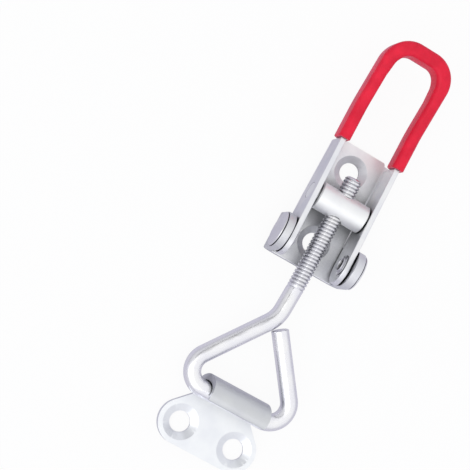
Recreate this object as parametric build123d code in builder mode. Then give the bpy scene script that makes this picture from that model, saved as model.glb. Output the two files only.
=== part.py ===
from build123d import *
import os
from math import acos, atan2, cos, hypot, radians, sin, tan

os.makedirs("parts", exist_ok=True)

# Over centre toggle latch, closed and hooked, lying on its mounting faces.
# Millimetres, +Z up, +X from the catch plate towards the grip. The origin is on the base plate's
# underside, midway between its two screw holes.

# Clearances
running_clearance = 0.05      # radial, a pin turning in its hole
seat_clearance = 0.1          # a flat face beside another that moves past it
side_clearance = 0.4          # a moving part beside the sheet that guides it
hook_clearance = 0.5          # radial, the loop's bar in the catch plate's hook

# Base plate: a tongue with two ears folded up at its front
base_sheet = 2.5
base_hole_spacing = 28.3
base_hole_radius = 3.6
base_countersink_radius = 6.1
base_countersink_angle = 104
base_tongue_width = 19.8
base_end_margin = 9.1         # from the rear screw hole to the tongue's end
base_corner_radius = 1.0
ear_width = 13.8
ear_bend_radius = 1.0         # inside radius of the fold
ear_edge_round = 0.3
pivot_before_hole = 3.1       # the pivot stands this far in front of the front screw hole
pivot_height = 11.8

# Handle: one strip on edge, bent to a long U, with deeper arms in front
handle_sheet = 2.0
handle_inner_width = 20.2
arm_top_front = 4.3           # heights of the arm's edges above the pivot
arm_bottom_front = -8.7
arm_top_rear = 2.5
arm_bottom_rear = -7.5
arm_front_reach = 7.2         # from the pivot to the arm's front
arm_straight = 16.0           # the lower edge begins to rise this far behind the pivot
arm_shoulder = 37.9           # where the arm steps up to the narrow strip
shoulder_run = 0.2
shoulder_radius = 0.5
arm_edge_round = 0.3
strip_depth = 5.4             # depth of the narrow strip under the sleeve
handle_reach = 77.3           # from the pivot to the middle of the cross bar
handle_bend_radius = 8.0      # middle of the strip, at the two rear corners
upturn_start = 52.0           # the rear end turns up from here
upturn_angle = 11.0
upturn_radius = 25.0

# Red sleeve on the closed end of the U
grip_start = 38.3             # from the pivot
grip_wall = 1.3
grip_edge_radius = 1.7
grip_mouth_round = 0.4

# Pivot rivets
rivet_shank_radius = 3.0
rivet_head_radius = 6.5
rivet_head_thickness = 1.4
rivet_head_edge = 0.5
rivet_bore_radius = 1.9
rivet_bore_depth = 4.6
rivet_tail_radius = 3.55
rivet_tail_height = 0.8
rivet_tail_round = 0.35

# Cross barrel between the arms
barrel_from_pivot = 17.4
barrel_drop = 1.7             # below the pivot, which puts the pull past dead centre
barrel_radius = 5.0
barrel_chamfer = 0.5
barrel_gap_left = 1.2         # the barrel lies nearer to the right arm
barrel_gap_right = 0.2
trunnion_radius = 3.0
trunnion_chamfer = 0.1

# Draw rod: one wire, threaded at its rear, bent to a triangle in front
thread_radius = 3.175
thread_behind_barrel = 11.0
thread_before_barrel = 32.3
thread_chamfer = 0.7
wire_radius = 3.08
bar_from_pivot = 60.0
wire_start = 1.0              # the bent wire begins this far inside the thread
neck_corner = 26.54           # from the pivot to the first corner, before rounding
neck_lean = 0.4               # that corner lies this far to the left
neck_bend_radius = 11.0
loop_corner_left = 25.1       # the triangle's outer corners, before rounding
loop_corner_right = 25.2
loop_corner_radius = 6.6
loop_end_back = 29.8          # the wire's cut end: from the pivot, and to the right
loop_end_right = 2.35
cut_end_chamfer = 0.35

# Catch plate: two screw lobes and a flap rolled over into a hook
catch_sheet = 2.4
catch_offset = 1.45           # its middle lies this far to the left
catch_hole_spacing = 21.4
catch_hole_radius = 3.7
catch_countersink_radius = 6.3
catch_countersink_angle = 120
catch_holes_before_bar = 13.4
lobe_radius = 8.0
neck_half_width = 11.2
neck_length = 2.6             # from the bar back to where the lobes begin to spread
neck_corner_radius = 2.0
hook_wrap = 208               # degrees, from the plate round to the lip
hook_width = 22.4
hook_middle_offset = 0.1      # the curl's middle at the bar's height
hook_skew_angle = 18.3        # the flap's sides lean, since it is cut askew
hook_lip_round = 0.4

# What follows from the sizes
front_hole_x = -base_hole_spacing / 2
rear_hole_x = base_hole_spacing / 2
pivot_x = front_hole_x - pivot_before_hole
tongue_end_x = rear_hole_x + base_end_margin
handle_outer_width = handle_inner_width + 2 * handle_sheet
ear_inner_width = handle_outer_width + 2 * side_clearance
ear_outer_width = ear_inner_width + 2 * base_sheet
ear_top = pivot_height + ear_width / 2
barrel_x = pivot_x + barrel_from_pivot
barrel_z = pivot_height - barrel_drop
barrel_left = handle_inner_width / 2 - barrel_gap_left
barrel_right = handle_inner_width / 2 - barrel_gap_right
hook_inner_radius = wire_radius + hook_clearance
bar_x = pivot_x - bar_from_pivot
bar_z = catch_sheet + hook_inner_radius
rod_slope = atan2(barrel_z - bar_z, barrel_x - bar_x)
catch_holes_x = bar_x - catch_holes_before_bar

pivot_plane = Plane(origin=(pivot_x, 0, pivot_height), x_dir=(1, 0, 0), z_dir=(0, -1, 0))
barrel_plane = Plane(origin=(barrel_x, 0, barrel_z), x_dir=(1, 0, 0), z_dir=(0, -1, 0))


# Base plate, folded: a channel cut to the ears' outline, then the tongue and its screw holes
with BuildPart() as base_plate:
    with BuildSketch(Plane.YZ.offset(pivot_x - ear_width / 2)) as channel_section:
        with Locations((0, ear_top / 2)):
            Rectangle(ear_outer_width, ear_top)
        fillet(channel_section.vertices().group_by(Axis.Y)[0], ear_bend_radius + base_sheet)
        with Locations((0, base_sheet + ear_top / 2)):
            RectangleRounded(ear_inner_width, ear_top, ear_bend_radius, mode=Mode.SUBTRACT)
    extrude(amount=ear_width)
    with BuildSketch(pivot_plane):
        Circle(ear_width / 2)
        with Locations((0, -pivot_height / 2)):
            Rectangle(ear_width, pivot_height)
    extrude(amount=ear_outer_width / 2, both=True, mode=Mode.INTERSECT)
    ear_rims = base_plate.edges().filter_by(GeomType.CIRCLE).group_by(Axis.Z)[-1]
    fillet(ear_rims, ear_edge_round)
    with BuildSketch():
        with Locations((pivot_x, 0)):
            tongue = Rectangle(
                tongue_end_x - pivot_x,
                base_tongue_width,
                align=(Align.MIN, Align.CENTER),
            )
        fillet(tongue.vertices().group_by(Axis.X)[-1], base_corner_radius)
    extrude(amount=base_sheet)
    with BuildSketch(pivot_plane):
        Circle(rivet_shank_radius + running_clearance)
    extrude(amount=ear_outer_width / 2, both=True, mode=Mode.SUBTRACT)
    with Locations((front_hole_x, 0, base_sheet), (rear_hole_x, 0, base_sheet)):
        CounterSinkHole(
            base_hole_radius,
            base_countersink_radius,
            counter_sink_angle=base_countersink_angle,
        )
base_plate.part.label = "base_plate"
export_step(base_plate.part, "parts/base_plate.step")


# Pivot rivet, turned: flat head outside the ear, shank through ear and arm, hollow rolled tail
head_y = ear_outer_width / 2
tail_y = handle_inner_width / 2 - seat_clearance
tail_end_y = tail_y - rivet_tail_height
with BuildPart() as pivot_rivet_left:
    with BuildSketch(Plane.XY.offset(pivot_height)) as rivet_half:
        with BuildLine():
            Polyline(
                (pivot_x, head_y + rivet_head_thickness),
                (pivot_x + rivet_head_radius, head_y + rivet_head_thickness),
                (pivot_x + rivet_head_radius, head_y),
                (pivot_x + rivet_shank_radius, head_y),
                (pivot_x + rivet_shank_radius, tail_y),
                (pivot_x + rivet_tail_radius, tail_y),
                (pivot_x + rivet_tail_radius, tail_end_y),
                (pivot_x + rivet_bore_radius, tail_end_y),
                (pivot_x + rivet_bore_radius, tail_end_y + rivet_bore_depth),
                (pivot_x, tail_end_y + rivet_bore_depth + rivet_bore_radius / 2),
                close=True,
            )
        make_face()
        head_rim = rivet_half.vertices().group_by(Axis.Y)[-1].sort_by(Axis.X)[-1]
        chamfer(head_rim, rivet_head_edge)
        fillet(rivet_half.vertices().group_by(Axis.Y)[0], rivet_tail_round)
    revolve(axis=Axis((pivot_x, 0, pivot_height), (0, 1, 0)))
pivot_rivet_left.part.label = "pivot_rivet_left"
export_step(pivot_rivet_left.part, "parts/pivot_rivet_left.step")

with BuildPart() as pivot_rivet_right:
    mirror(pivot_rivet_left.part, about=Plane.XZ)
pivot_rivet_right.part.label = "pivot_rivet_right"
export_step(pivot_rivet_right.part, "parts/pivot_rivet_right.step")


# The narrow strip behind the arms, and the same shape thickened all round for the sleeve: a U in
# plan with upright walls, cut by the band that shows from the side, which turns up at its end
strip_middle = arm_top_rear - strip_depth / 2
strip_end = handle_reach + 2 * handle_bend_radius
bent_bands = []
for wall, band_start in ((0, arm_shoulder), (grip_wall, grip_start)):
    half_sheet = handle_sheet / 2 + wall
    half_depth = strip_depth / 2 + wall
    half_turn = half_depth * tan(radians(upturn_angle / 2))
    end_height = strip_middle + (strip_end - upturn_start) * tan(radians(upturn_angle))
    end_half = half_depth / cos(radians(upturn_angle))
    with BuildPart() as bent_band:
        with BuildSketch():
            with Locations((pivot_x, 0)):
                RectangleRounded(
                    2 * (handle_reach + half_sheet),
                    handle_inner_width + handle_sheet + 2 * half_sheet,
                    handle_bend_radius + half_sheet,
                )
                RectangleRounded(
                    2 * (handle_reach - half_sheet),
                    handle_inner_width + handle_sheet - 2 * half_sheet,
                    handle_bend_radius - half_sheet,
                    mode=Mode.SUBTRACT,
                )
        extrude(amount=2 * handle_reach)
        with BuildSketch(pivot_plane) as side_band:
            with BuildLine():
                Polyline(
                    (band_start, strip_middle - half_depth),
                    (upturn_start + half_turn, strip_middle - half_depth),
                    (strip_end, end_height - end_half),
                    (strip_end, end_height + end_half),
                    (upturn_start - half_turn, strip_middle + half_depth),
                    (band_start, strip_middle + half_depth),
                    close=True,
                )
            make_face()
            turns = side_band.vertices().sort_by(Axis.X)[2:4].sort_by(Axis.Y)
            fillet(turns[0], upturn_radius + half_depth)
            turns = side_band.vertices().sort_by(Axis.X)[2:4].sort_by(Axis.Y)
            fillet(turns[-1], upturn_radius - half_depth)
        extrude(amount=handle_outer_width, both=True, mode=Mode.INTERSECT)
    bent_bands.append(bent_band.part)
strip_solid, sleeve_solid = bent_bands
arm_front_middle = (arm_top_front + arm_bottom_front) / 2
arm_front_x = (arm_top_front - arm_bottom_front) / 2 - arm_front_reach

with BuildPart() as handle_bar:
    with BuildSketch(pivot_plane) as arm_outline:
        with BuildLine():
            arm_edges = Polyline(
                (arm_front_x, arm_top_front),
                (arm_shoulder + shoulder_run, arm_top_rear),
                (arm_shoulder + shoulder_run, arm_top_rear - strip_depth),
                (arm_shoulder, arm_bottom_rear),
                (arm_straight, arm_bottom_front),
                (arm_front_x, arm_bottom_front),
            )
            ThreePointArc(arm_edges @ 1, (-arm_front_reach, arm_front_middle), arm_edges @ 0)
        make_face()
        fillet(arm_outline.vertices().sort_by(Axis.X)[-3], shoulder_radius)
        Circle(rivet_shank_radius + running_clearance, mode=Mode.SUBTRACT)
        with Locations((barrel_from_pivot, -barrel_drop)):
            Circle(trunnion_radius + running_clearance, mode=Mode.SUBTRACT)
    extrude(amount=handle_outer_width / 2, both=True)
    with Locations((pivot_x, 0, pivot_height)):
        Box(4 * handle_reach, handle_inner_width, 4 * arm_front_reach, mode=Mode.SUBTRACT)
    arm_faces = handle_bar.faces().filter_by(Axis.Y).sort_by(SortBy.AREA)
    fillet([arm_face.outer_wire().edges() for arm_face in arm_faces], arm_edge_round)
    add(strip_solid)
handle_bar.part.label = "handle_bar"
export_step(handle_bar.part, "parts/handle_bar.step")

with BuildPart() as handle_grip:
    add(sleeve_solid)
    mouths = handle_grip.faces().filter_by(Axis.X).sort_by(Axis.X)[:2]
    mouth_edges = mouths.edges()
    long_edges = handle_grip.edges() - mouth_edges
    fillet(long_edges, grip_edge_radius)
    add(strip_solid, mode=Mode.SUBTRACT)
    mouths = handle_grip.faces().filter_by(Axis.X).sort_by(Axis.X)[:2]
    fillet(mouths[0].outer_wire().edges() + mouths[1].outer_wire().edges(), grip_mouth_round)
handle_grip.part.label = "handle_grip"
export_step(handle_grip.part, "parts/handle_grip.step")


# Cross barrel, turned, with a cross hole for the draw rod
with BuildPart() as cross_barrel:
    with BuildSketch(barrel_plane.offset(-barrel_left)):
        Circle(barrel_radius)
    extrude(amount=barrel_left + barrel_right)
    chamfer(cross_barrel.edges().filter_by(GeomType.CIRCLE), barrel_chamfer)
    with BuildSketch(barrel_plane):
        Circle(trunnion_radius)
    extrude(amount=handle_outer_width / 2, both=True)
    ends = cross_barrel.faces().sort_by(Axis.Y)
    chamfer(ends[0].edges() + ends[-1].edges(), trunnion_chamfer)
    rod_plane = Plane(
        origin=(barrel_x, 0, barrel_z),
        x_dir=(0, 1, 0),
        z_dir=(cos(rod_slope), 0, sin(rod_slope)),
    )
    with BuildSketch(rod_plane):
        Circle(thread_radius + running_clearance)
    extrude(amount=barrel_radius * 2, both=True, mode=Mode.SUBTRACT)
cross_barrel.part.label = "cross_barrel"
export_step(cross_barrel.part, "parts/cross_barrel.step")


# Draw rod: the wire is swept along its bends, then the thicker thread is added
bar_from_barrel = (barrel_x - bar_x) / cos(rod_slope)
neck_x = barrel_from_pivot + neck_corner
end_x = barrel_from_pivot + loop_end_back
wire_plane = Plane(
    origin=(barrel_x, 0, barrel_z),
    x_dir=(cos(rod_slope), 0, sin(rod_slope)),
    z_dir=(-sin(rod_slope), 0, cos(rod_slope)),
)
with BuildPart() as draw_rod:
    with BuildLine(wire_plane) as wire_path:
        FilletPolyline(
            (wire_start - thread_before_barrel, 0),
            (-neck_x, neck_lean),
            (-bar_from_barrel, loop_corner_left),
            (-bar_from_barrel, -loop_corner_right),
            (-end_x, -loop_end_right),
            radius=(neck_bend_radius, loop_corner_radius, loop_corner_radius),
        )
    with BuildSketch(Plane(origin=wire_path.line @ 0, z_dir=wire_path.line % 0)):
        Circle(wire_radius)
    sweep(path=wire_path.line)
    cut_end = draw_rod.faces().filter_by(GeomType.PLANE).sort_by(Axis.X)[0]
    chamfer(cut_end.edges(), cut_end_chamfer)
    with BuildSketch(rod_plane.offset(-thread_before_barrel)):
        Circle(thread_radius)
    extrude(amount=thread_before_barrel + thread_behind_barrel)
    thread_ends = draw_rod.edges().filter_by(GeomType.CIRCLE)
    thread_rims = thread_ends.filter_by(lambda e: abs(e.radius - thread_radius) < 0.01)
    chamfer(thread_rims.sort_by(Axis.X)[-1], thread_chamfer)
draw_rod.part.label = "draw_rod"
export_step(draw_rod.part, "parts/draw_rod.step")


# Catch plate: the rolled hook first, trimmed askew, then the flat plate with its two lobes
with BuildPart() as catch_plate:
    with BuildSketch(Plane.YZ.offset(bar_x)):
        with Locations((0, catch_sheet / 2)):
            Rectangle(2 * hook_width, catch_sheet)
    revolve(axis=Axis((bar_x, 0, bar_z), (0, -1, 0)), revolution_arc=hook_wrap)
    lean = tan(radians(hook_skew_angle))
    with BuildSketch(Plane.YZ.offset(bar_x - 2 * bar_z)):
        with BuildLine():
            Polyline(
                (hook_middle_offset + hook_width / 2 + bar_z * lean, 0),
                (hook_middle_offset + hook_width / 2 - bar_z * lean, 2 * bar_z),
                (hook_middle_offset - hook_width / 2 - bar_z * lean, 2 * bar_z),
                (hook_middle_offset - hook_width / 2 + bar_z * lean, 0),
                close=True,
            )
        make_face()
    extrude(amount=4 * bar_z, mode=Mode.INTERSECT)
    fillet(catch_plate.faces().sort_by(Axis.X)[0].edges(), hook_lip_round)
    with BuildSketch(Plane.XY) as plate_outline:
        lobe_spread = catch_hole_spacing / 2
        neck_start_x = bar_x - neck_length
        rise = neck_half_width - lobe_spread
        run = neck_start_x - catch_holes_x
        touch_angle = atan2(rise, run) + acos(lobe_radius / hypot(run, rise))
        touch_x = catch_holes_x + lobe_radius * cos(touch_angle)
        touch_y = lobe_spread + lobe_radius * sin(touch_angle)
        with BuildLine():
            Polyline(
                (catch_holes_x - lobe_radius, catch_offset + lobe_spread),
                (catch_holes_x - lobe_radius, catch_offset - lobe_spread),
                (touch_x, catch_offset - touch_y),
                (neck_start_x, catch_offset - neck_half_width),
                (bar_x, catch_offset - neck_half_width),
                (bar_x, catch_offset + neck_half_width),
                (neck_start_x, catch_offset + neck_half_width),
                (touch_x, catch_offset + touch_y),
                close=True,
            )
        make_face()
        necks = plate_outline.vertices().group_by(Axis.X)[-2]
        fillet(necks, neck_corner_radius)
        with Locations((catch_holes_x, catch_offset)):
            with GridLocations(0, catch_hole_spacing, 1, 2):
                Circle(lobe_radius)
    extrude(amount=catch_sheet)
    with Locations((catch_holes_x, catch_offset, catch_sheet)):
        with GridLocations(0, catch_hole_spacing, 1, 2):
            CounterSinkHole(
                catch_hole_radius,
                catch_countersink_radius,
                counter_sink_angle=catch_countersink_angle,
            )
catch_plate.part.label = "catch_plate"
export_step(catch_plate.part, "parts/catch_plate.step")
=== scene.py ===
# %% [markdown]
# # Over centre toggle latch
# The latch lies closed and hooked on a pale table. A real one is pressed, turned and bent from
# zinc plated steel, and a red vinyl sleeve covers its handle. The solids come from the CAD frame.
# Here the stamped edges go soft, the rod gets its thread and the sleeve its rolled mouths, and
# every surface gets a finish. Sizes are in millimetres, and MM turns them into metres.

import math

import bmesh
import bpy
import numpy as np
from mathutils import Matrix, Vector


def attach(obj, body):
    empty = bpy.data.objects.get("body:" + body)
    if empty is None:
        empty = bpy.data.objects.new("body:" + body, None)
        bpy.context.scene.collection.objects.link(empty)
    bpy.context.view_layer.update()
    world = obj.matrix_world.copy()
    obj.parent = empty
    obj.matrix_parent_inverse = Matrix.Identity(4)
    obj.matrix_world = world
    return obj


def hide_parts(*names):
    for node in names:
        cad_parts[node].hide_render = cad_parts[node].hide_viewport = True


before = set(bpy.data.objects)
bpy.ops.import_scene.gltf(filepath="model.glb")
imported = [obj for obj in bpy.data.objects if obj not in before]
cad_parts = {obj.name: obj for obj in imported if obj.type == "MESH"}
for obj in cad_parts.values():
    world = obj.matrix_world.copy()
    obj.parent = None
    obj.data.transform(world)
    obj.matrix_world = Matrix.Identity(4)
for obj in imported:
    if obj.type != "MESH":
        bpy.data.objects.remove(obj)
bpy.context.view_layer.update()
MM = 0.001

# %% [markdown]
# ## Camera
# The photograph was taken from above and a little to the side, with the catch plate towards the
# viewer. A camera can be turned by hand until the picture fits. This one was worked out from the
# latch's own sizes instead, which is exact and can be repeated, so it is a few plain numbers:
# where it stands, the directions of the picture's right and down, and the lens.

# %% Camera
CAMERA_PLACE = Vector((-87.85, 132.9, 488.0)) * MM
PICTURE_RIGHT = Vector((0.468206, -0.848541, 0.246497))
PICTURE_DOWN = Vector((-0.874798, -0.484450, -0.006043))
LENS_MM = 111.06
FILM_WIDTH_MM = 36.0
NEAREST_SEEN = 0.01

camera_data = bpy.data.cameras.new("camera")
camera_data.lens = LENS_MM
camera_data.sensor_width = FILM_WIDTH_MM
camera_data.clip_start = NEAREST_SEEN
camera = bpy.data.objects.new("camera", camera_data)
bpy.context.scene.collection.objects.link(camera)
backward = PICTURE_RIGHT.cross(-PICTURE_DOWN)
turn = Matrix((PICTURE_RIGHT, -PICTURE_DOWN, backward)).transposed()
camera.matrix_world = Matrix.Translation(CAMERA_PLACE) @ turn.to_4x4()
bpy.context.scene.camera = camera
print("camera at", [round(value, 4) for value in camera.location])

# %% [markdown]
# ## Node helpers
# The table, the room and the finishes are trees of shader nodes. They could be wired one by one in
# the node editor. Small helpers do it here, because the same ramps, ranges and noises come back
# in every tree, and a helper keeps them short and alike.

# %% Helpers for numbers and colours
WHITE = (1.0, 1.0, 1.0, 1.0)


def node_material(name):
    """A new material with an empty tree."""
    made = bpy.data.materials.new(name)
    made.use_nodes = True
    made.node_tree.nodes.clear()
    return made


def math_node(tree, operation, first, second):
    """The result of operation on two values, each a socket or a float."""
    made = tree.nodes.new("ShaderNodeMath")
    made.operation = operation
    for socket, value in zip(made.inputs, (first, second)):
        if isinstance(value, float):
            socket.default_value = value
        else:
            tree.links.new(value, socket)
    return made.outputs[0]


def range_node(tree, source, given, wanted, way="LINEAR"):
    """source carried from the range given to the range wanted, and held at both ends."""
    made = tree.nodes.new("ShaderNodeMapRange")
    made.interpolation_type = way
    for name, value in zip(("From Min", "From Max", "To Min", "To Max"), (*given, *wanted)):
        made.inputs[name].default_value = value
    tree.links.new(source, made.inputs["Value"])
    return made.outputs["Result"]


def ramp_node(tree, source, steps):
    """Colour by source. steps are pairs of a place from 0 to 1 and a red, green, blue colour."""
    ramp = tree.nodes.new("ShaderNodeValToRGB")
    elements = ramp.color_ramp.elements
    while len(elements) < len(steps):
        elements.new(0.5)
    for element, (place, colour) in zip(elements, steps):
        element.position = place
        element.color = (*colour, 1.0)
    tree.links.new(source, ramp.inputs["Fac"])
    return ramp.outputs["Color"]


print("helpers for numbers and colours ready")

# %% Helpers for textures and shaders


def noise_node(tree, vector, scale, detail):
    """Cloudy noise from 0 to 1, scale clouds to the metre, with finer ones added by detail."""
    made = tree.nodes.new("ShaderNodeTexNoise")
    made.inputs["Scale"].default_value = scale
    made.inputs["Detail"].default_value = detail
    tree.links.new(vector, made.inputs["Vector"])
    return made.outputs["Fac"]


def bump_node(tree, height, strength, depth):
    """A normal that leans where height changes, as if the surface rose by depth millimetres."""
    made = tree.nodes.new("ShaderNodeBump")
    made.inputs["Strength"].default_value = strength
    made.inputs["Distance"].default_value = depth * MM
    tree.links.new(height, made.inputs["Height"])
    return made.outputs["Normal"]


def blend_node(tree, share, first, second):
    """The shader first where share is 0, and second where it is 1."""
    made = tree.nodes.new("ShaderNodeMixShader")
    for socket, value in zip(made.inputs, (share, first, second)):
        tree.links.new(value, socket)
    return made.outputs[0]


print("helpers for textures and shaders ready")

# %% [markdown]
# ## Table
# The latch lies on a white table that is brighter than any lamp would make it. Strong light would
# burn out the metal too, so the table glows instead, and only for some rays: the camera sees
# white, polished metal sees a pale lilac, and the paint below keeps the latch's shadow. The glow
# stops in a narrow strip under the right arm, a painted shadow placed by position, so the slot
# beside the tongue shows the paint in the arm's shade.

# %% Table
TABLE_SIZE = 3.0
TABLE_DROP = 0.0003
TABLE_PAINT = (0.78, 0.78, 0.81, 1.0)
TABLE_LILAC = (0.60, 0.585, 0.68, 1.0)
TABLE_GLOWS = (
    ("Is Glossy Ray", TABLE_LILAC, 0.75),
    ("Is Transmission Ray", WHITE, 0.85),
    ("Is Camera Ray", WHITE, 0.93),
)
# A painted shadow: the table's glow is left out of this strip under the right arm.
SHADOW_STRIP = (("X", -0.012, 0.0228), ("Y", -0.0145, -0.0097))


def make_table_material():
    """Paint, blended for each kind of ray with a glow. The glow's share is its own amount times
    1 - (x is in the strip) * (y is in the strip)."""
    material = node_material("table_white")
    tree = material.node_tree
    paint = tree.nodes.new("ShaderNodeBsdfDiffuse")
    paint.inputs["Color"].default_value = TABLE_PAINT
    parts = tree.nodes.new("ShaderNodeSeparateXYZ")
    place = tree.nodes.new("ShaderNodeTexCoord")
    tree.links.new(place.outputs["Object"], parts.inputs[0])
    inside = 1.0
    for axis, low, high in SHADOW_STRIP:
        above = math_node(tree, "GREATER_THAN", parts.outputs[axis], low)
        below = math_node(tree, "LESS_THAN", parts.outputs[axis], high)
        inside = math_node(tree, "MULTIPLY", inside, math_node(tree, "MULTIPLY", above, below))
    lit = math_node(tree, "SUBTRACT", 1.0, inside)
    ray = tree.nodes.new("ShaderNodeLightPath")
    shader = paint.outputs[0]
    for kind, colour, amount in TABLE_GLOWS:
        glow = tree.nodes.new("ShaderNodeEmission")
        glow.inputs["Color"].default_value = colour
        share = math_node(tree, "MULTIPLY", ray.outputs[kind], amount)
        share = math_node(tree, "MULTIPLY", share, lit)
        shader = blend_node(tree, share, shader, glow.outputs[0])
    output = tree.nodes.new("ShaderNodeOutputMaterial")
    tree.links.new(shader, output.inputs["Surface"])
    return material


half = TABLE_SIZE / 2
table_corners = [(-half, -half), (half, -half), (half, half), (-half, half)]
table_mesh = bpy.data.meshes.new("table")
table_mesh.from_pydata([(x, y, -TABLE_DROP) for x, y in table_corners], [], [(0, 1, 2, 3)])
table = bpy.data.objects.new("table", table_mesh)
bpy.context.scene.collection.objects.link(table)
table_mesh.materials.append(make_table_material())
print("table", TABLE_SIZE, "m square")

# %% [markdown]
# ## Room
# Bright zinc shows what stands around it, so the room matters more than the lamps. It could be a
# picture of a studio, or boards and cloths set up round the latch. Here it is worked out from the
# direction alone, which needs no picture and casts no odd shadow. The sky is brightest overhead
# and greyer low down, which leaves tops pale and sides darker. To the left a dark seam and a
# greyer panel draw the long line along the wire.

# %% Room
SKY = (
    (0.0, (0.58, 0.58, 0.64)),
    (0.15, (0.74, 0.74, 0.79)),
    (0.45, (0.92, 0.92, 0.95)),
    (1.0, (1.0, 1.0, 1.0)),
)
SEAM_Y = 0.49
SEAM_HALF = (0.03, 0.09)
SEAM_FROM_X = (-0.30, -0.15)
SEAM_DEPTH = 0.75
PANEL_FROM_Y = (0.50, 0.60)
PANEL_DEPTH = 0.20


def make_room():
    """Sky colour by the height z of a direction, times a strength by its x and y:
    1 - max(seam, panel) * reach. The seam is a dip at y = SEAM_Y, the panel a lasting step beyond
    it, and reach fades both out at low x."""
    world = bpy.data.worlds.new("room")
    world.use_nodes = True
    tree = world.node_tree
    tree.nodes.clear()
    direction = tree.nodes.new("ShaderNodeTexCoord")
    parts = tree.nodes.new("ShaderNodeSeparateXYZ")
    tree.links.new(direction.outputs["Generated"], parts.inputs[0])
    x, y, z = parts.outputs
    aside = math_node(tree, "ABSOLUTE", math_node(tree, "SUBTRACT", y, SEAM_Y), 0.0)
    seam = range_node(tree, aside, SEAM_HALF, (SEAM_DEPTH, 0.0), "SMOOTHSTEP")
    panel = range_node(tree, y, PANEL_FROM_Y, (0.0, PANEL_DEPTH), "SMOOTHSTEP")
    reach = range_node(tree, x, SEAM_FROM_X, (0.0, 1.0), "SMOOTHSTEP")
    darker = math_node(tree, "MULTIPLY", math_node(tree, "MAXIMUM", seam, panel), reach)
    sky = tree.nodes.new("ShaderNodeBackground")
    tree.links.new(ramp_node(tree, z, SKY), sky.inputs["Color"])
    tree.links.new(math_node(tree, "SUBTRACT", 1.0, darker), sky.inputs["Strength"])
    white = tree.nodes.new("ShaderNodeBackground")
    white.inputs["Color"].default_value = WHITE
    seen = tree.nodes.new("ShaderNodeLightPath").outputs["Is Camera Ray"]
    output = tree.nodes.new("ShaderNodeOutputWorld")
    shader = blend_node(tree, seen, sky.outputs[0], white.outputs[0])
    tree.links.new(shader, output.inputs["Surface"])
    return world


bpy.context.scene.world = make_room()
bpy.context.scene.view_settings.view_transform = "Standard"
print("sky steps:", len(SKY))

# %% [markdown]
# ## Lamp
# The sky lights the latch almost alone. One weak softbox, a studio's cloth-covered square lamp,
# stands to the upper left, so that shadows have a side. A sun lamp would cut them hard, and a
# point lamp would leave small hot spots in the metal, so it is a wide area lamp.

# %% Lamp
LAMP_PLACE = Vector((-0.5, 0.35, 0.8))
LAMP_SIDE = 0.9
LAMP_WATTS = 2.4

lamp_data = bpy.data.lights.new("key", "AREA")
lamp_data.shape = "RECTANGLE"
lamp_data.size = lamp_data.size_y = LAMP_SIDE
lamp_data.energy = LAMP_WATTS
lamp = bpy.data.objects.new("key", lamp_data)
lamp.location = LAMP_PLACE
lamp.rotation_mode = "QUATERNION"
lamp.rotation_quaternion = (-LAMP_PLACE).to_track_quat("-Z", "Y")
bpy.context.scene.collection.objects.link(lamp)
print("softbox", LAMP_SIDE, "m square,", LAMP_WATTS, "W")

# %% [markdown]
# ## Zinc finishes
# Bright zinc plating is a thin metal skin: pale, slightly blue, with a soft gloss that drifts from
# place to place. One grey with one gloss looks like plastic, and pictures of metal would repeat,
# so noise at three scales is used. The broad one drifts the tone, a finer one the gloss, and a
# stretched one is the grain: sheet keeps the mill's rolling marks, turned parts keep rings, and
# drawn wire keeps fine lines along its length. Corners and gaps get painted shade: their colour is
# darker where nearby parts close off the room.

# %% Crevices
CREVICE_SAMPLES = 8
# Painted shade: the colour is darkened where nearby parts close off the room, broadly and in tight
# gaps.
PAINTED_CREVICE_SHADES = (
    (8.0, ((0.0, 0.08), (0.40, 0.50), (0.62, 0.86), (0.85, 1.0))),
    (1.2, ((0.0, 0.10), (0.45, 0.22), (0.75, 1.0))),
)


def painted_crevice_shades(tree):
    """Painted shade: a grey for broad crevices and one for tight gaps, from the share of directions
    that are open within the reach in millimetres, passed through a ramp."""
    greys = []
    for reach, shades in PAINTED_CREVICE_SHADES:
        openness = tree.nodes.new("ShaderNodeAmbientOcclusion")
        openness.samples = CREVICE_SAMPLES
        openness.inputs["Distance"].default_value = reach * MM
        steps = [(place, (grey, grey, grey)) for place, grey in shades]
        greys.append(ramp_node(tree, openness.outputs["AO"], steps))
    return greys


def darken_node(tree, colour, grey, amount):
    """colour times grey, by amount: 0 leaves the colour alone."""
    made = tree.nodes.new("ShaderNodeMix")
    made.data_type = "RGBA"
    made.blend_type = "MULTIPLY"
    made.inputs["Factor"].default_value = amount
    tree.links.new(colour, made.inputs["A"])
    tree.links.new(grey, made.inputs["B"])
    return made.outputs["Result"]


print("crevice reaches in mm:", [reach for reach, shades in PAINTED_CREVICE_SHADES])

# %% Zinc maker
DRIFT_NOISE = (140.0, 3.0)
DRIFT_FROM, DRIFT_TO = 0.35, 0.62
GLOSS_NOISE = (900.0, 4.0)
GLOSS_RANGE = (0.3, 0.7)
GLOSS_SPREAD = 0.05
GRAIN_NOISE = (1400.0, 2.0)
GRAIN_DEPTH = 0.01


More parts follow.
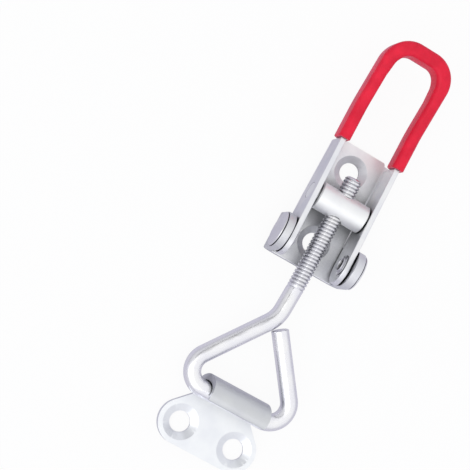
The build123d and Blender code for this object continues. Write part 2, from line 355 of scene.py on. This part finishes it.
def zinc(name, pale, deep, roughness, grain, stretch, crevice, shade=""):
    """Zinc plating between the colours pale and deep, with a roughness of roughness plus or minus
    GLOSS_SPREAD, and a grain of strength grain that is stretched along x, y and z. Painted shade
    darkens it in crevices and gaps by the amount crevice, and shade names an attribute of the piece
    that darkens it further."""
    metal = node_material(name)
    tree = metal.node_tree
    surface = tree.nodes.new("ShaderNodeBsdfPrincipled")
    surface.inputs["Metallic"].default_value = 1.0
    place = tree.nodes.new("ShaderNodeTexCoord").outputs["Object"]
    tones = ((DRIFT_FROM, deep), (DRIFT_TO, pale))
    colour = ramp_node(tree, noise_node(tree, place, *DRIFT_NOISE), tones)
    # Painted shade in crevices and gaps.
    for grey in painted_crevice_shades(tree):
        colour = darken_node(tree, colour, grey, crevice)
    if shade:
        own = tree.nodes.new("ShaderNodeAttribute")
        own.attribute_name = shade
        colour = darken_node(tree, colour, own.outputs["Fac"], 1.0)
    tree.links.new(colour, surface.inputs["Base Color"])
    wanted = (roughness - GLOSS_SPREAD, roughness + GLOSS_SPREAD)
    gloss = range_node(tree, noise_node(tree, place, *GLOSS_NOISE), GLOSS_RANGE, wanted)
    tree.links.new(gloss, surface.inputs["Roughness"])
    stretcher = tree.nodes.new("ShaderNodeMapping")
    stretcher.inputs["Scale"].default_value = stretch
    tree.links.new(place, stretcher.inputs["Vector"])
    lines = noise_node(tree, stretcher.outputs["Vector"], *GRAIN_NOISE)
    tree.links.new(bump_node(tree, lines, grain, GRAIN_DEPTH), surface.inputs["Normal"])
    output = tree.nodes.new("ShaderNodeOutputMaterial")
    tree.links.new(surface.outputs[0], output.inputs["Surface"])
    return metal


print("grain noise:", GRAIN_NOISE[0], "to the metre")

# %% Zinc finishes
ROLLED = (0.15, 1.0, 1.0)
TURNED = (1.0, 5.0, 1.0)
DRAWN = (0.2, 1.0, 1.0)
EVEN = (1.0, 1.0, 1.0)
SHADE = "shade"

zinc_sheet = zinc("zinc_sheet", (0.865, 0.87, 0.88), (0.79, 0.80, 0.84), 0.36, 0.25, ROLLED, 1.0)
zinc_rivet = zinc(
    "zinc_rivet", (0.80, 0.80, 0.82), (0.74, 0.74, 0.79), 0.32, 0.2, EVEN, 0.8, SHADE
)
zinc_turned = zinc("zinc_turned", (0.92, 0.93, 0.93), (0.88, 0.89, 0.90), 0.50, 0.3, TURNED, 0.3)
zinc_wire = zinc(
    "zinc_wire", (0.92, 0.92, 0.93), (0.86, 0.86, 0.91), 0.24, 0.25, DRAWN, 0.22, SHADE
)
zinc_hook = zinc(
    "zinc_hook", (0.885, 0.905, 0.93), (0.83, 0.85, 0.89), 0.36, 0.25, ROLLED, 0.3, SHADE
)
zinc_base = zinc(
    "zinc_base", (0.88, 0.89, 0.91), (0.81, 0.82, 0.86), 0.52, 0.3, ROLLED, 1.0, SHADE
)
print("zinc finishes: sheet, rivet, turned, wire, hook, base")

# %% [markdown]
# ## Red sleeve finish
# The sleeve is soft vinyl: one strong red, slightly clear at its skin, with a soft gloss, a faint
# unevenness, and sides that turn pinkish where they are seen at a slant. A plain red plastic would
# lack all of these, and a picture would show seams, so one cloudy noise stirs colour, gloss and
# bump together, and sheen gives the pink.

# %% Red vinyl
VINYL_SOCKETS = (
    ("Specular IOR Level", 0.22),
    ("Sheen Weight", 0.22),
    ("Sheen Roughness", 0.35),
    ("Sheen Tint", (0.85, 0.62, 1.0, 1.0)),
    ("Subsurface Weight", 0.1),
    ("Subsurface Radius", (0.002, 0.0004, 0.0006)),
)
VINYL_CLOUDS = (220.0, 4.0)
VINYL_REDS = ((0.3, (0.63, 0.008, 0.034)), (0.7, (0.82, 0.015, 0.050)))
VINYL_ROUGHNESS = (0.32, 0.50)
VINYL_BUMP = (0.25, 0.05)


def make_red_vinyl():
    """Colour, roughness and bump all follow the same clouds."""
    material = node_material("red_vinyl")
    tree = material.node_tree
    surface = tree.nodes.new("ShaderNodeBsdfPrincipled")
    for socket, value in VINYL_SOCKETS:
        surface.inputs[socket].default_value = value
    place = tree.nodes.new("ShaderNodeTexCoord").outputs["Object"]
    clouds = noise_node(tree, place, *VINYL_CLOUDS)
    roughness = range_node(tree, clouds, (0.0, 1.0), VINYL_ROUGHNESS)
    tree.links.new(ramp_node(tree, clouds, VINYL_REDS), surface.inputs["Base Color"])
    tree.links.new(roughness, surface.inputs["Roughness"])
    tree.links.new(bump_node(tree, clouds, *VINYL_BUMP), surface.inputs["Normal"])
    output = tree.nodes.new("ShaderNodeOutputMaterial")
    tree.links.new(surface.outputs[0], output.inputs["Surface"])
    return material


red_vinyl = make_red_vinyl()
print("red vinyl roughness:", VINYL_ROUGHNESS)

# %% [markdown]
# ## Surfaces from numbers
# A bent wire or a sleeve is a section carried along a line. Blender's curves can do that too, but
# they can't carry a thread or a swelling. So the line is worked out as straight runs with round
# corners, and the surface is a grid of points: one parameter runs along the line, and the other
# round the section.

# %% Bent line


def bent_line(corners, radii, step):
    """Points and unit directions along straight runs joined by circular arcs.

    At a corner with turning angle a and radius r, the arc starts r * tan(a / 2) before the corner
    and ends as far after it. corners is an (n, 2) or (n, 3) array, radii has n - 2 values, and the
    points lie about step apart."""
    corners = np.asarray(corners, float)
    runs = np.diff(corners, axis=0)
    ways = runs / np.linalg.norm(runs, axis=1)[:, None]
    points, directions = [], []
    start = corners[0]
    for index, radius in enumerate(radii):
        before, after = ways[index], ways[index + 1]
        angle = math.acos(np.clip(before @ after, -1, 1))
        cut = radius * math.tan(angle / 2)
        arc_start = corners[index + 1] - cut * before
        inward = after - (after @ before) * before
        inward = inward / np.linalg.norm(inward)
        count = max(2, int(np.linalg.norm(arc_start - start) / step))
        share = np.linspace(0, 1, count, endpoint=False)[:, None]
        points.append(start + share * (arc_start - start))
        directions.append(np.repeat(before[None], count, axis=0))
        count = max(3, int(radius * angle / step))
        turned = np.linspace(0, angle, count, endpoint=False)[:, None]
        bow = np.sin(turned) * before + (1 - np.cos(turned)) * inward
        points.append(arc_start + radius * bow)
        directions.append(np.cos(turned) * before + np.sin(turned) * inward)
        start = corners[index + 1] + cut * after
    count = max(2, int(np.linalg.norm(corners[-1] - start) / step))
    share = np.linspace(0, 1, count)[:, None]
    points.append(start + share * (corners[-1] - start))
    directions.append(np.repeat(ways[-1][None], count, axis=0))
    return np.concatenate(points), np.concatenate(directions)


right_angle = bent_line([(0, 0), (10, 0), (10, 10)], (4,), 1.0)
print("a test corner has", len(right_angle[0]), "points")

# %% Grid to mesh


def grid_piece(name, grid, closed_along=False, caps=()):
    """A mesh object from a grid of points (rings, points in a ring, 3), in millimetres.

    Every ring is closed. With closed_along the last ring joins the first, and caps names the ends,
    'first' or 'last', that are closed with a point in their middle."""
    rings, around = grid.shape[:2]
    verts = grid.reshape(-1, 3) * MM
    ring = np.arange(rings if closed_along else rings - 1)
    i, j = np.meshgrid(ring, np.arange(around), indexing="ij")
    i2, j2 = (i + 1) % rings, (j + 1) % around
    quads = np.stack([i * around + j, i * around + j2, i2 * around + j2, i2 * around + j], -1)
    faces = quads.reshape(-1, 4).tolist()
    for end in caps:
        ring_start = 0 if end == "first" else (rings - 1) * around
        middle = verts[ring_start:ring_start + around].mean(axis=0)
        pole = len(verts)
        verts = np.vstack([verts, middle])
        a = np.arange(around)
        b = (a + 1) % around
        fan = np.stack([a + ring_start, b + ring_start, np.full(around, pole)], -1)
        if end == "first":
            fan = fan[:, ::-1]
        faces += fan.tolist()
    mesh = bpy.data.meshes.new(name)
    mesh.from_pydata(verts.tolist(), [], faces)
    mesh.validate()
    mesh.shade_smooth()
    piece = bpy.data.objects.new(name, mesh)
    bpy.context.scene.collection.objects.link(piece)
    return piece


def write_shade(piece, shade):
    """Store shade, one value a point, as the piece's attribute, with 1 for points added by caps."""
    values = np.ones(len(piece.data.vertices), np.float32)
    values[:shade.size] = shade.ravel()
    piece.data.attributes.new(SHADE, "FLOAT", "POINT").data.foreach_set("value", values)


def dress(piece, finish, body, node):
    """Give the piece its finish, put it on the body that carries it, and hide the CAD node it
    replaces."""
    piece.data.materials.append(finish)
    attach(piece, body)
    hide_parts(node)
    print(piece.name, "on", body, "has", len(piece.data.polygons), "faces")


print("shade attribute:", SHADE)

# %% [markdown]
# ## Draw rod
# One wire: rolled thread at the rear, a plain neck, then the triangle that hooks on the catch
# plate. A thread can be a texture, a screw modifier or a true surface. Here it is a true surface,
# because its flanks catch light and shade: the radius at a point depends on how far along and how
# far round it is, so the groove climbs by one pitch a turn. The thread is a little duller than the
# plain wire, its roots get painted shade, and the bending die has left a thin dark line along the
# left leg.

# %% Draw rod sizes
PIVOT_X = -17.25
BARREL = np.array([0.15, 0.0, 10.1])
BAR_X = PIVOT_X - 60.0
BAR_Z = 5.98
ROD_SLOPE = math.atan2(BARREL[2] - BAR_Z, BARREL[0] - BAR_X)
ROD_WAY = np.array([math.cos(ROD_SLOPE), 0, math.sin(ROD_SLOPE)])
BAR_REACH = (BARREL[0] - BAR_X) / math.cos(ROD_SLOPE)
WIRE_RADIUS = 3.08
THREAD_RADIUS = 3.175
THREAD_PITCH = 1.27
THREAD_DEPTH = 0.52
THREAD_REAR = 11.0
THREAD_FRONT = -32.3
THREAD_LENGTH = THREAD_REAR - THREAD_FRONT
ROD_CORNERS = [
    (THREAD_FRONT - 0.6, 0.05),
    (-43.94, 0.4),
    (-BAR_REACH, 25.1),
    (-BAR_REACH, -25.2),
    (-47.2, -2.35),
]
ROD_RADII = (11.0, 6.6, 6.6)
print("rod slope in degrees:", round(math.degrees(ROD_SLOPE), 2))

# %% Thread
ROOT_FLAT = 0.08
FLANK_SHARE = 0.44
RUNOUT = 2.2
RUNOUT_DEPTH = 0.225
TIP_RADIUS = 2.35


def thread_radius(along, turn_share):
    """Radius at a distance along from the rear end and a share of a turn round the rod.

    The wave is 1 on a crest and 0 in a root, with flats cut off both. The depth fades where the
    thread runs out on the plain wire, and a cone of 45 degrees trims the rear end."""
    phase = (along / THREAD_PITCH - turn_share) % 1.0
    wave = np.clip((np.abs(phase - 0.5) * 2 - ROOT_FLAT) / FLANK_SHARE, 0, 1)
    full = np.clip((THREAD_LENGTH - along) / RUNOUT, 0, 1)
    crest = WIRE_RADIUS + (THREAD_RADIUS - WIRE_RADIUS) * full
    root = THREAD_RADIUS - THREAD_DEPTH + (THREAD_DEPTH - RUNOUT_DEPTH) * (1 - full)
    radius = np.minimum(root + (crest - root) * wave, TIP_RADIUS + along)
    return np.where(along > THREAD_LENGTH, WIRE_RADIUS, radius)


print("turns of thread:", round(THREAD_LENGTH / THREAD_PITCH, 1))

# %% Marks on the rod
THREAD_SHADE = 0.10
# Painted shade in the thread's roots, stronger where the groove is deeper.
ROOT_PAINTED_SHADE = 0.05
DIE_LINE_ANGLE = 111.0
DIE_LINE_HALF = 9.0
DIE_LINE_SHADE = 0.4
DIE_LINE_ENDS = (43.5, 98.0)
DIE_LINE_FADES = (2.0, 6.0)
WAVERS = ((2.2, 0.9, 0.0), (1.3, 2.3, 1.0))
BREAKS = (0.45, 0.55, 0.4)


def rod_shade(along, turn_share, radius):
    """Brightness of the rod, 1 on the plain wire. The thread is a little duller, its roots are
    darker still by their depth as painted shade, and so is the die's line, which wavers by sines in
    degrees and breaks up by another sine. Each sine is size * sin(rate * along + phase)."""
    depth = np.clip((THREAD_RADIUS - radius) / THREAD_DEPTH, 0, 1)
    threaded = np.clip((THREAD_LENGTH - along) / THREAD_PITCH, 0, 1)
    # The thread's own dullness, plus painted shade in its roots.
    dullness_and_root_shade = (THREAD_SHADE + ROOT_PAINTED_SHADE * depth) * threaded
    waver = sum(size * np.sin(along * rate + phase) for size, rate, phase in WAVERS)
    off = np.abs(360 * turn_share - (DIE_LINE_ANGLE + waver))
    size, rate, phase = BREAKS
    strength = np.clip(1 - size + size * np.sin(along * rate + phase), 0, 1)
    strength = strength * np.clip((along - DIE_LINE_ENDS[0]) / DIE_LINE_FADES[0], 0, 1)
    strength = strength * np.clip((DIE_LINE_ENDS[1] - along) / DIE_LINE_FADES[1], 0, 1)
    line = DIE_LINE_SHADE * strength * np.clip(1 - off / DIE_LINE_HALF, 0, 1)
    return 1 - dullness_and_root_shade - line


print("die line from", DIE_LINE_ENDS[0], "to", DIE_LINE_ENDS[1], "mm along the rod")

# %% Draw rod surface
THREAD_RINGS = 480
ROD_STEP = 0.55
ROD_AROUND = 48
CUT_END = ((0.22, 0.0), (0.10, 0.25), (0.02, 0.5), (0.0, 1.6))


def make_draw_rod():
    """Ring points are centre + radius * (cos t * side + sin t * up). The last rings close the cut
    end: each lies a distance before it and is smaller by an inset, as CUT_END lists."""
    fine = np.linspace(0, THREAD_LENGTH, THREAD_RINGS)
    straight = np.stack([THREAD_REAR - fine, np.zeros_like(fine)], -1)
    bends, bend_ways = bent_line(ROD_CORNERS, ROD_RADII, ROD_STEP)
    points = np.concatenate([straight, bends])
    ways = np.concatenate([np.tile((-1.0, 0.0), (len(fine), 1)), bend_ways])
    along = np.concatenate([[0], np.cumsum(np.linalg.norm(np.diff(points, axis=0), axis=1))])
    across = np.array([0.0, 1.0, 0.0])
    up = np.cross(ROD_WAY, across)
    centre = BARREL + points[:, :1] * ROD_WAY + points[:, 1:] * across
    way = ways[:, :1] * ROD_WAY + ways[:, 1:] * across
    side = np.cross(up, way)
    share = np.arange(ROD_AROUND) / ROD_AROUND
    angle = 2 * np.pi * share[None, :, None]
    spoke = np.cos(angle) * side[:, None] + np.sin(angle) * up
    radius = thread_radius(along[:, None], share[None])
    grid = centre[:, None] + radius[..., None] * spoke
    before, inset = np.array(CUT_END).T[..., None, None]
    ends = centre[-1] - before * way[-1] + (WIRE_RADIUS - inset) * spoke[-1]
    grid = np.concatenate([grid[:-1], ends])
    shade = np.ones(grid.shape[:2])
    shade[:len(along)] = rod_shade(along[:, None], share[None], radius)
    piece = grid_piece("draw_rod_wire", grid, caps=("first", "last"))
    write_shade(piece, shade)
    return piece


dress(make_draw_rod(), zinc_wire, "rod", "draw_rod")

# %% [markdown]
# ## Sleeve
# The closed end of the handle wears a soft red sleeve, drawn over it from the back. A thickened
# copy of the strip would have sharp mouths and one even wall. This skin is a grid that is closed
# both ways: it runs round the U outside, rolls over at one mouth, and comes back along the strip
# inside. On the inside of the closed end, where the sleeve is pushed together, it swells.

# %% Sleeve line
STRIP_Y = 11.1
STRIP_Z = 11.6
MOUTH_X = PIVOT_X + 38.3
END_X = PIVOT_X + 77.3
CORNER_RADIUS = 8.0
UPTURN_X = PIVOT_X + 52.0
UPTURN = math.radians(11.0)
UPTURN_RADIUS = 25.0


def strip_height(x):
    """Middle of the strip at x: level, then an arc of the upturn's radius, then a straight rise."""
    cut = UPTURN_RADIUS * math.tan(UPTURN / 2)
    run = np.clip(x - (UPTURN_X - cut), 0, UPTURN_RADIUS * math.sin(UPTURN))
    arc = UPTURN_RADIUS - np.sqrt(UPTURN_RADIUS ** 2 - run ** 2)
    rest = np.clip(x - (UPTURN_X + cut * math.cos(UPTURN)), 0, None)
    return STRIP_Z + arc + rest * math.tan(UPTURN)


print("the strip's end stands at", round(float(strip_height(END_X)), 2), "mm")

# %% Sleeve surface
SLEEVE_OUTSIDE = (2.28, 4.0, 1.7)
SLEEVE_INSIDE = (1.03, 2.72, 0.15)
SLEEVE_AROUND = 48
SLEEVE_STEP = 0.5
LIP = 0.42
LIP_RINGS = 6
SWELL = 0.8
SWELL_FROM = END_X - 13.0
SWELL_RUN = 8.0


def rounded_section(half_width, half_height, corner):
    """Rounded rectangle: a circle of the corner's radius, its quarters pulled to the corners."""
    angle = 2 * np.pi * (np.arange(SLEEVE_AROUND) + 0.5) / SLEEVE_AROUND
    wide, high = np.cos(angle), np.sin(angle)
    return np.stack([
        np.sign(wide) * (half_width - corner) + corner * wide,
        np.sign(high) * (half_height - corner) + corner * high,
    ], -1)


def make_sleeve():
    """Ring points are centre + shift * along + width * side + height * up / cos(slope), so that
    the sleeve stays as deep square to the strip. The rings run along the outside with a rolled
    lip at each mouth, a quarter circle of radius LIP, and then back along the inside."""
    corners = [(MOUTH_X, STRIP_Y), (END_X, STRIP_Y), (END_X, -STRIP_Y), (MOUTH_X, -STRIP_Y)]
    plan, way = bent_line(corners, (CORNER_RADIUS, CORNER_RADIUS), SLEEVE_STEP)
    height = strip_height(plan[:, 0])
    slope = np.gradient(height, np.linalg.norm(np.gradient(plan, axis=0), axis=1).cumsum())
    centre = np.column_stack([plan, height])
    along = np.column_stack([way, slope])
    side = np.column_stack([-way[:, 1], way[:, 0], np.zeros(len(way))])
    up = np.sqrt(1 + slope ** 2)[:, None] * np.array([0.0, 0.0, 1.0])
    outer, inner = rounded_section(*SLEEVE_OUTSIDE), rounded_section(*SLEEVE_INSIDE)
    turn = np.linspace(0, np.pi / 2, LIP_RINGS)
    depth = LIP * (1 - np.cos(turn))
    lips = outer - (LIP * (1 - np.sin(turn)))[:, None, None] * np.sign(outer)
    swell = SWELL * np.clip((plan[:, 0] - SWELL_FROM) / SWELL_RUN, 0, 1)
    inner_side = np.column_stack([outer[:, 0] < 0, np.zeros(len(outer))])
    count = len(centre)
    middle = np.arange(2, count - 2)
    body = outer - swell[middle, None, None] * inner_side
    back = np.repeat(inner[None], count, axis=0)
    sections = np.concatenate([lips, body, lips[::-1], back])
    at = np.repeat([0, count - 1], LIP_RINGS)
    at = np.concatenate([at[:LIP_RINGS], middle, at[LIP_RINGS:], np.arange(count)[::-1]])
    shift = np.concatenate([depth, np.zeros(len(middle)), -depth[::-1], np.zeros(count)])
    grid = (centre[at] + shift[:, None] * along[at])[:, None]
    grid = grid + sections[..., :1] * side[at][:, None] + sections[..., 1:] * up[at][:, None]
    return grid_piece("handle_sleeve", grid, closed_along=True)


dress(make_sleeve(), red_vinyl, "handle", "handle_grip")

# %% [markdown]
# ## Pivot rivets
# A semi-tubular rivet is turned with a thin flat head and a hollow end, and the hollow end is
# rolled outwards once it is through the sheets. Stacked cylinders would miss the rolled tail and
# the undercut that shows as a dark line round the head, so each rivet is one profile spun round
# its axis. The hollow is darkened, since little light gets in.

# %% Rivet profile
PIVOT_Z = 11.8


def arc_points(centre, radius, first, last, count):
    """Points of an arc in the profile's plane, from the first to the last angle in degrees."""
    angle = np.radians(np.linspace(first, last, count))
    return np.array(centre) + radius * np.column_stack([np.cos(angle), np.sin(angle)])


# Pairs of a radius and a place along y, from the head's face in to the hollow's floor.
RIVET_PROFILE = np.concatenate([
    [(0.5, 16.4), (3.0, 16.4), (5.6, 16.38)],  # the head's flat face
    arc_points((6.12, 16.0), 0.38, 88, 0, 8),  # its rounded rim
    [(6.5, 15.97), (6.42, 15.84), (5.9, 15.62), (3.2, 15.6)],  # the undercut, down to the ear
    [(3.0, 15.4), (3.0, 10.12)],  # the shank, through ear and arm
    [(3.1, 10.0), (3.6, 10.0)],  # the tail's seat on the arm
    arc_points((3.72, 9.88), 0.12, 90, -60, 6),  # the rolled tail's edge
    [(3.35, 9.7), (3.15, 9.6), (3.02, 9.45)],  # the dip inside it
    arc_points((2.58, 9.5), 0.34, 0, -180, 12),  # the rolled lip
    [(2.16, 9.7), (1.95, 10.2), (1.9, 11.0), (1.9, 13.6)],  # the hollow
    [(1.7, 13.9), (0.4, 14.7)],  # its drilled floor
])
print("rivet profile:", len(RIVET_PROFILE), "points")

# %% Rivet surface
RIVET_AROUND = 72
HOLLOW_SHADE = 0.1
HOLLOW_ROWS = (8, 5)


def make_rivet(name, hand):
    """Points are axis + radius * (cos t, sin t) + place along y, mirrored by hand. The shade falls
    from 1 to HOLLOW_SHADE between two rows that are counted from the profile's end."""
    angle = 2 * np.pi * np.arange(RIVET_AROUND) / RIVET_AROUND
    spoke = np.column_stack([np.cos(angle), np.zeros(RIVET_AROUND), hand * np.sin(angle)])
    axis = np.array([PIVOT_X, 0.0, PIVOT_Z])
    along = RIVET_PROFILE[:, 1:] * np.array([0.0, hand, 0.0])
    grid = axis + along[:, None] + RIVET_PROFILE[:, :1, None] * spoke[None]
    piece = grid_piece(name, grid, caps=("first", "last"))
    rows = len(RIVET_PROFILE)
    fall = [rows - row for row in HOLLOW_ROWS]
    shade = np.interp(np.arange(rows), fall, [1, HOLLOW_SHADE])
    write_shade(piece, np.repeat(shade[:, None], RIVET_AROUND, axis=1))
    return piece


for rivet_name, hand in (("rivet_left", 1), ("rivet_right", -1)):
    rivet = make_rivet(rivet_name, hand)
    dress(rivet, zinc_rivet, "base", "pivot_" + rivet_name)

# %% [markdown]
# ## Soft edges
# A press and the plating bath leave every edge slightly round, and that thin round is what catches
# the light. The CAD solids have the right shape but knife edges. They could be modelled again, but
# that would lose their exact sizes, so each solid is copied, its loose triangles are joined, and
# a bevel rounds every corner sharper than 30 degrees.

# %% Rounded copies
JOIN_DISTANCE = 0.001
FLAT_ANGLE = math.radians(0.5)
CORNER_ANGLE = math.radians(30)
BEVEL_SEGMENTS = 3


def mesh_points(mesh):
    """The mesh's points in millimetres."""
    points = np.empty(len(mesh.vertices) * 3)
    mesh.vertices.foreach_get("co", points)
    return points.reshape(-1, 3) / MM


def rounded_copy(node, name, width, reshape=None):
    """A copy of a CAD node with its corners rounded by width millimetres. reshape may move the
    copy's points, given and returned in millimetres."""
    shape = bmesh.new()
    shape.from_mesh(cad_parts[node].data)
    bmesh.ops.remove_doubles(shape, verts=shape.verts, dist=JOIN_DISTANCE * MM)
    bmesh.ops.dissolve_limit(shape, angle_limit=FLAT_ANGLE, verts=shape.verts, edges=shape.edges)
    mesh = bpy.data.meshes.new(name)
    shape.to_mesh(mesh)
    shape.free()
    if reshape:
        mesh.vertices.foreach_set("co", (reshape(mesh_points(mesh)) * MM).ravel())
    mesh.shade_smooth()
    mesh.set_sharp_from_angle(angle=CORNER_ANGLE)
    piece = bpy.data.objects.new(name, mesh)
    bpy.context.scene.collection.objects.link(piece)
    bevel = piece.modifiers.new("edge", "BEVEL")
    bevel.width = width * MM
    bevel.segments = BEVEL_SEGMENTS
    bevel.limit_method = "ANGLE"
    bevel.angle_limit = CORNER_ANGLE
    level = piece.modifiers.new("level", "WEIGHTED_NORMAL")
    level.keep_sharp = True
    return piece


print("corners above", round(math.degrees(CORNER_ANGLE)), "degrees are rounded")

# %% [markdown]
# ## Base plate
# One sheet: a tongue with two countersunk holes, and two ears folded up that carry the rivets. The
# ears look a little thicker than the CAD's and stand a little further out, and they get painted
# shade, since they face outwards. New ears could be drawn, but a mapping of the distance from the
# middle plane moves the ears and their folds together and leaves the holes alone.

# %% Base plate
EAR_PLACES = (0.0, 11.5, 12.5, 15.0)
EAR_LEFT_PLACES = (0.0, 11.5, 12.85, 15.6)
EAR_RIGHT_PLACES = (0.0, 11.5, 12.6, 15.6)
EAR_FOLD_Y = 12.0
# Painted shade on the ears, which face outwards.
EAR_PAINTED_SHADES = (0.82, 0.89)
BASE_EDGE = 0.15


def thicker_ears(points):
    """Distances y from the middle plane are carried, in straight steps, from EAR_PLACES to the
    places of that side. The side that a point isn't on adds 0."""
    left = np.interp(points[:, 1], EAR_PLACES, EAR_LEFT_PLACES)
    right = np.interp(-points[:, 1], EAR_PLACES, EAR_RIGHT_PLACES)
    points[:, 1] = left - right
    return points


def painted_ear_shade(points):
    """Painted shade: 1 on the tongue, and less on the left and the right ear."""
    left, right = points[:, 1] > EAR_FOLD_Y, points[:, 1] < -EAR_FOLD_Y
    return np.select([left, right], EAR_PAINTED_SHADES, 1.0)


base_sheet = rounded_copy("base_plate", "base_sheet", BASE_EDGE, thicker_ears)
write_shade(base_sheet, painted_ear_shade(mesh_points(base_sheet.data)))
dress(base_sheet, zinc_base, "base", "base_plate")

# %% [markdown]
# ## Handle strip
# The handle is one strip on edge, bent to a long U, with deeper arms in front. Its outline is
# exactly the CAD's, so a rounded copy is all it needs, and a narrow round keeps the thin look of
# sheet.

# %% Handle strip
STRIP_EDGE = 0.12

handle_strip = rounded_copy("handle_bar", "handle_strip", STRIP_EDGE)
dress(handle_strip, zinc_sheet, "handle", "handle_bar")

# %% [markdown]
# ## Catch plate
# Flat sheet with two countersunk lobes, and a flap that is rolled over into the hook. The flap was
# cut askew before it was rolled, so its end faces lean with the sheet all the way round. The CAD
# trims them straight down. Instead of a new curl, the copy's points slide along the curl by their
# depth in the sheet. Above a low height, the rolled part is coloured darker than the flat plate.

# %% Catch plate
CURL_RADII = (3.58, 5.98)
CURL_MARGIN = 0.3
FLAP_LEAN = math.tan(math.radians(18.3))
CURL_START = 2.6
CURL_BLEND = 2.5
CURL_SHADE = 0.72
CATCH_EDGE = 0.15
TINY = 1e-6


def square_flap_ends(points):
    """Each point of the curl moves along it by lean * (outer radius - radius) * cos t, with t the
    angle from the curl's lowest line."""
    east, up = points[:, 0] - BAR_X, points[:, 2] - BAR_Z
    radius = np.hypot(east, up)
    rolled = (radius > CURL_RADII[0] - CURL_MARGIN) & (radius < CURL_RADII[1] + CURL_MARGIN)
    rolled &= (east > -0.01) | (up > 0)
    shift = FLAP_LEAN * (CURL_RADII[1] - radius) * (-up / np.maximum(radius, TINY))
    points[:, 1] += np.where(rolled, shift, 0)
    return points


def hook_shade(points):
    """1 up to the height CURL_START, and CURL_SHADE above the blend that follows."""
    rise = np.clip((points[:, 2] - CURL_START) / CURL_BLEND, 0, 1)
    return 1 - (1 - CURL_SHADE) * rise


catch_sheet = rounded_copy("catch_plate", "catch_sheet", CATCH_EDGE, square_flap_ends)
write_shade(catch_sheet, hook_shade(mesh_points(catch_sheet.data)))
dress(catch_sheet, zinc_hook, "catch", "catch_plate")

# %% [markdown]
# ## Cross barrel
# The barrel is turned from bar: a thick middle with the tapped hole, and two thin ends that turn
# in the arms. A cylinder would do for the middle alone, but the copy brings the hole and the ends
# with it. Its left shoulder is moved a little nearer to the arm, which narrows the gap there.

# %% Cross barrel
THICK_FROM_RADIUS = 3.3
SHOULDER_FROM_Y = 7.0
SHOULDER_SHIFT = 0.4
BARREL_EDGE = 0.08


def longer_barrel(points):
    """Points of the thick part beyond SHOULDER_FROM_Y move to the left."""
    radius = np.hypot(points[:, 0] - BARREL[0], points[:, 2] - BARREL[2])
    shoulder = (radius > THICK_FROM_RADIUS) & (points[:, 1] > SHOULDER_FROM_Y)
    points[:, 1] += np.where(shoulder, SHOULDER_SHIFT, 0)
    return points


barrel_pin = rounded_copy("cross_barrel", "barrel_pin", BARREL_EDGE, longer_barrel)
dress(barrel_pin, zinc_turned, "barrel", "cross_barrel")
